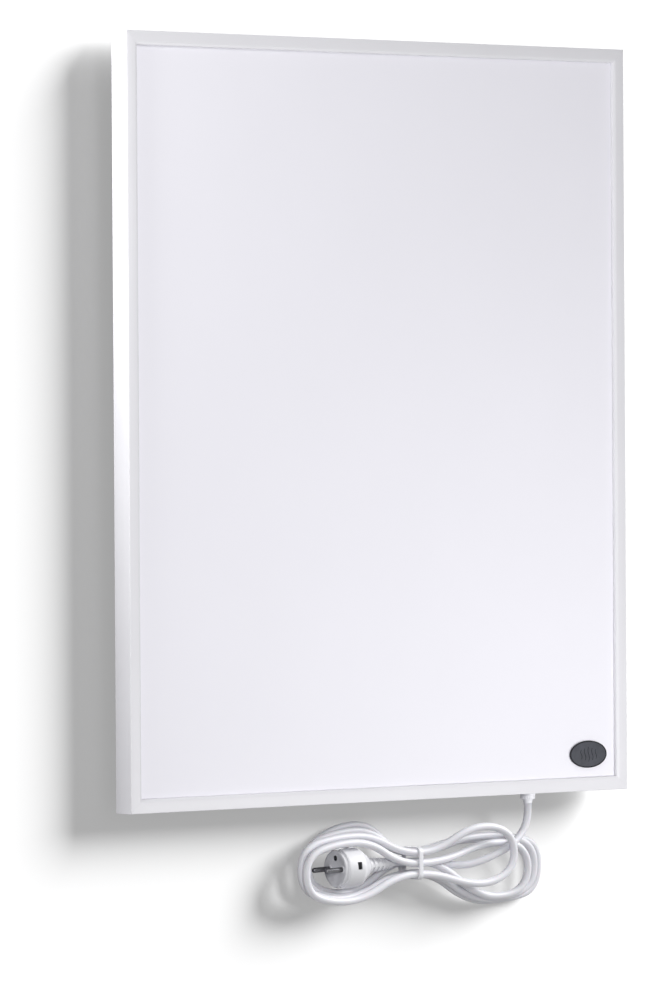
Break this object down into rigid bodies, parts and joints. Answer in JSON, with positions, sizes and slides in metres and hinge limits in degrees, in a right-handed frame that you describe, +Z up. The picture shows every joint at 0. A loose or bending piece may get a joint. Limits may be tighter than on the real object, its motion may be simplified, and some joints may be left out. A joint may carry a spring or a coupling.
{
  "type": "infrared panel heater",
  "caption": "Flat wall-mounted radiant heating panel in a slim white frame, hooked on wall rails, with its mains cord tied in a hank.",
  "frame": {"origin": "centre of the wall fixing holes, on the wall plane, which is also the middle of the panel as seen from the front", "axes": "+Z up, +Y into the wall, so the heating face looks towards -Y; +X to the right as seen from the front"},
  "size_m": [0.6, 0.0408, 0.8129],
  "materials": {
    "frame_paint": "satin white powder coat with a faint cool tint",
    "plate_paint": "fine matt white heat-proof coating",
    "soft_rubber": "matt white silicone rubber",
    "mica_sheet": "pale brown pressed mica with a slight glitter",
    "element_foil": "thin rolled resistance foil",
    "reflector_foil": "bright rolled foil",
    "fibre_board": "pressed mineral fibre felt",
    "zinc_steel": "zinc-coated sheet with a faint grain",
    "screw_steel": "bright zinc-plated screws",
    "terminal_brass": "turned brass",
    "terminal_ceramic": "unglazed white ceramic",
    "cutout_case": "black moulded case",
    "white_nylon": "white moulded nylon",
    "soft_boot": "soft white vinyl",
    "cord_jacket": "smooth satin white vinyl",
    "core_brown": "brown core insulation",
    "core_blue": "blue core insulation",
    "core_green": "green and yellow core insulation",
    "heat_sleeve": "woven glass-fibre sleeve",
    "plug_shell": "glossy white moulding",
    "pin_metal": "nickel-plated brass",
    "badge_face": "dark pewter lacquer",
    "badge_tape": "black foam tape"
  },
  "bodies": {
    "wall_rails": {"wall_rail_upper": "zinc_steel", "wall_rail_lower": "zinc_steel"},
    "heater": {"frame_top": "frame_paint", "frame_bottom": "frame_paint", "frame_left": "frame_paint", "frame_right": "frame_paint", "front_plate": "plate_paint", "plate_gasket": "soft_rubber", "wall_buffers": "soft_rubber", "mica_front": "mica_sheet", "mica_rear": "mica_sheet", "heating_element": "element_foil", "reflector_foil": "reflector_foil", "insulation_board": "fibre_board", "rear_cover": "zinc_steel", "terminal_tray": "zinc_steel", "terminal_lid": "zinc_steel", "cutout_clip": "zinc_steel", "corner_keys": "zinc_steel", "hanger_rail_upper": "zinc_steel", "hanger_rail_lower": "zinc_steel", "corner_key_screws": "screw_steel", "rear_cover_screws": "screw_steel", "terminal_lid_screws": "screw_steel", "terminal_screws": "screw_steel", "cord_clamp_screws": "screw_steel", "hanger_rivets": "screw_steel", "earth_nut": "screw_steel", "terminal_inserts": "terminal_brass", "earth_lug": "terminal_brass", "earth_stud": "terminal_brass", "plug_earth_clips": "terminal_brass", "terminal_block": "terminal_ceramic", "thermal_cutout": "cutout_case", "cord_clamp": "white_nylon", "gland_body": "white_nylon", "gland_cap": "white_nylon", "gland_locknut": "white_nylon", "cable_tie": "white_nylon", "gland_boot": "soft_boot", "cord_tail": "cord_jacket", "cord_lead": "cord_jacket", "cord_hank": "cord_jacket", "wire_live": "core_brown", "wire_neutral": "core_blue", "wire_earth": "core_green", "earth_bond": "core_green", "cutout_lead": "heat_sleeve", "element_lead_live": "heat_sleeve", "element_lead_neutral": "heat_sleeve", "plug_body": "plug_shell", "plug_face": "plug_shell", "plug_pins": "pin_metal", "badge": "badge_face", "badge_pad": "badge_tape"}
  },
  "joints": [
    {"name": "lift_off", "type": "slide", "parent": "wall_rails", "child": "heater", "axis": [0, 0, 1], "range_m": [0, 0.012]}
  ]
}
